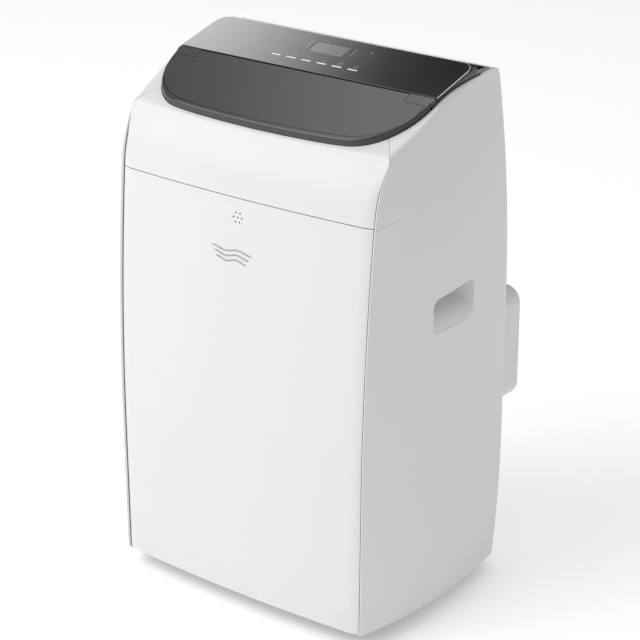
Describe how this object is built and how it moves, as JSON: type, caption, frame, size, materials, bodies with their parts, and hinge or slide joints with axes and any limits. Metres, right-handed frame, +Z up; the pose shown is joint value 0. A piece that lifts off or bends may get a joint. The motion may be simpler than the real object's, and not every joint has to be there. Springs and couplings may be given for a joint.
{
  "type": "portable air conditioner",
  "caption": "Upright portable air conditioner with a hinged top outlet flap, control panel, swing vanes, rear hose port and swivel casters.",
  "frame": {"origin": "on the floor under the middle of the object's bounding box", "axes": "+Z up, -Y to the front, +X to the right of someone who faces the front"},
  "size_m": [0.4336, 0.355, 0.7],
  "materials": {
    "white_plastic": "satin",
    "black_plastic": "gloss",
    "panel_gloss": "mirror gloss",
    "window_grey": "gloss",
    "inner_plastic": "matte",
    "insulation_foam": "matte",
    "galvanised_steel": "zinc-plated",
    "black_enamel": "semi-gloss",
    "aluminium_fins": "satin",
    "copper": "bright",
    "rubber": "matte",
    "caster_plastic": "matte",
    "axle_steel": "bright",
    "filter_mesh": "matte",
    "board_green": "lacquered"
  },
  "bodies": {
    "cabinet": {"accumulator": "black_enamel", "base_pan": "inner_plastic", "compressor": "black_enamel", "compressor_mount_1": "rubber", "compressor_mount_2": "rubber", "compressor_mount_3": "rubber", "condenser_coil": "aluminium_fins", "condenser_grille": "white_plastic", "condenser_motor": "galvanised_steel", "condenser_scroll": "insulation_foam", "control_box": "galvanised_steel", "control_panel": "panel_gloss", "discharge_pipe": "copper", "display_board": "board_green", "display_window": "window_grey", "drain_partition": "insulation_foam", "evaporator_coil": "aluminium_fins", "evaporator_motor": "galvanised_steel", "evaporator_scroll": "insulation_foam", "exhaust_guard": "inner_plastic", "exhaust_housing": "white_plastic", "flap_motor": "galvanised_steel", "front_panel": "white_plastic", "front_upper_cover": "white_plastic", "left_side_shell": "white_plastic", "outlet_duct": "insulation_foam", "power_cord_gland": "rubber", "rear_lower_panel": "white_plastic", "rear_upper_panel": "white_plastic", "right_side_shell": "white_plastic", "suction_pipe": "copper", "top_bezel": "black_plastic"},
    "flap": {"air_flap": "black_plastic", "flap_pin_left": "axle_steel", "flap_pin_right": "axle_steel"},
    "vane_1": {"swing_vane_1": "inner_plastic"},
    "vane_2": {"swing_vane_2": "inner_plastic"},
    "vane_3": {"swing_vane_3": "inner_plastic"},
    "vane_4": {"swing_vane_4": "inner_plastic"},
    "vane_5": {"swing_vane_5": "inner_plastic"},
    "link": {"vane_link": "inner_plastic"},
    "evaporator_wheel": {"evaporator_fan": "inner_plastic"},
    "condenser_wheel": {"condenser_fan": "inner_plastic"},
    "intake_door": {"filter_door": "white_plastic", "filter_frame": "filter_mesh"},
    "upper_plug": {"drain_plug_upper": "rubber"},
    "lower_plug": {"drain_plug_lower": "rubber"},
    "fork_front_left": {"caster_fork_front_left": "caster_plastic", "caster_axle_front_left": "axle_steel"},
    "wheel_front_left": {"caster_wheel_front_left": "caster_plastic"},
    "fork_front_right": {"caster_fork_front_right": "caster_plastic", "caster_axle_front_right": "axle_steel"},
    "wheel_front_right": {"caster_wheel_front_right": "caster_plastic"},
    "fork_rear_left": {"caster_fork_rear_left": "caster_plastic", "caster_axle_rear_left": "axle_steel"},
    "wheel_rear_left": {"caster_wheel_rear_left": "caster_plastic"},
    "fork_rear_right": {"caster_fork_rear_right": "caster_plastic", "caster_axle_rear_right": "axle_steel"},
    "wheel_rear_right": {"caster_wheel_rear_right": "caster_plastic"}
  },
  "joints": [
    {"name": "flap_hinge", "type": "hinge", "parent": "cabinet", "child": "flap", "pos_m": [0, -0.0435, 0.666], "axis": [-1, 0, 0], "range_deg": [0, 50]},
    {"name": "vane_swing_1", "type": "hinge", "parent": "cabinet", "child": "vane_1", "pos_m": [-0.1, -0.085, 0.613], "axis": [0, 1, 0], "range_deg": [-30, 30]},
    {"name": "vane_swing_2", "type": "hinge", "parent": "cabinet", "child": "vane_2", "pos_m": [-0.05, -0.085, 0.613], "axis": [0, 1, 0], "range_deg": [-30, 30]},
    {"name": "vane_swing_3", "type": "hinge", "parent": "cabinet", "child": "vane_3", "pos_m": [0, -0.085, 0.613], "axis": [0, 1, 0], "range_deg": [-30, 30]},
    {"name": "vane_swing_4", "type": "hinge", "parent": "cabinet", "child": "vane_4", "pos_m": [0.05, -0.085, 0.613], "axis": [0, 1, 0], "range_deg": [-30, 30]},
    {"name": "vane_swing_5", "type": "hinge", "parent": "cabinet", "child": "vane_5", "pos_m": [0.1, -0.085, 0.613], "axis": [0, 1, 0], "range_deg": [-30, 30]},
    {"name": "vane_link_slide", "type": "slide", "parent": "cabinet", "child": "link", "axis": [-1, 0, 0], "range_m": [-0.009, 0.009]},
    {"name": "evaporator_fan_spin", "type": "hinge", "parent": "cabinet", "child": "evaporator_wheel", "pos_m": [-0.062, -0.055, 0.487], "axis": [0, 1, 0], "continuous": true},
    {"name": "condenser_fan_spin", "type": "hinge", "parent": "cabinet", "child": "condenser_wheel", "pos_m": [0.055, -0.0025, 0.158], "axis": [0, 1, 0], "continuous": true},
    {"name": "filter_door_hinge", "type": "hinge", "parent": "cabinet", "child": "intake_door", "pos_m": [0, 0.1252, 0.411], "axis": [-1, 0, 0], "range_deg": [0, 50]},
    {"name": "upper_plug_pull", "type": "slide", "parent": "cabinet", "child": "upper_plug", "axis": [0, 1, 0], "range_m": [0, 0.03]},
    {"name": "lower_plug_pull", "type": "slide", "parent": "cabinet", "child": "lower_plug", "axis": [0, 1, 0], "range_m": [0, 0.03]},
    {"name": "caster_swivel_front_left", "type": "hinge", "parent": "cabinet", "child": "fork_front_left", "pos_m": [-0.157, -0.122, 0.0445], "axis": [0, 0, 1], "continuous": true},
    {"name": "caster_swivel_front_right", "type": "hinge", "parent": "cabinet", "child": "fork_front_right", "pos_m": [0.157, -0.122, 0.0445], "axis": [0, 0, 1], "continuous": true},
    {"name": "caster_swivel_rear_left", "type": "hinge", "parent": "cabinet", "child": "fork_rear_left", "pos_m": [-0.157, 0.084, 0.0445], "axis": [0, 0, 1], "continuous": true},
    {"name": "caster_swivel_rear_right", "type": "hinge", "parent": "cabinet", "child": "fork_rear_right", "pos_m": [0.157, 0.084, 0.0445], "axis": [0, 0, 1], "continuous": true},
    {"name": "caster_roll_front_left", "type": "hinge", "parent": "fork_front_left", "child": "wheel_front_left", "pos_m": [-0.167, -0.122, 0.018], "axis": [0, 1, 0], "continuous": true},
    {"name": "caster_roll_front_right", "type": "hinge", "parent": "fork_front_right", "child": "wheel_front_right", "pos_m": [0.167, -0.122, 0.018], "axis": [0, 1, 0], "continuous": true},
    {"name": "caster_roll_rear_left", "type": "hinge", "parent": "fork_rear_left", "child": "wheel_rear_left", "pos_m": [-0.167, 0.084, 0.018], "axis": [0, 1, 0], "continuous": true},
    {"name": "caster_roll_rear_right", "type": "hinge", "parent": "fork_rear_right", "child": "wheel_rear_right", "pos_m": [0.167, 0.084, 0.018], "axis": [0, 1, 0], "continuous": true}
  ],
  "couplings": [
    {"joint": "vane_swing_1", "follows": "vane_link_slide", "rad_per_m": 58.17},
    {"joint": "vane_swing_2", "follows": "vane_link_slide", "rad_per_m": 58.17},
    {"joint": "vane_swing_3", "follows": "vane_link_slide", "rad_per_m": 58.17},
    {"joint": "vane_swing_4", "follows": "vane_link_slide", "rad_per_m": 58.17},
    {"joint": "vane_swing_5", "follows": "vane_link_slide", "rad_per_m": 58.17}
  ]
}
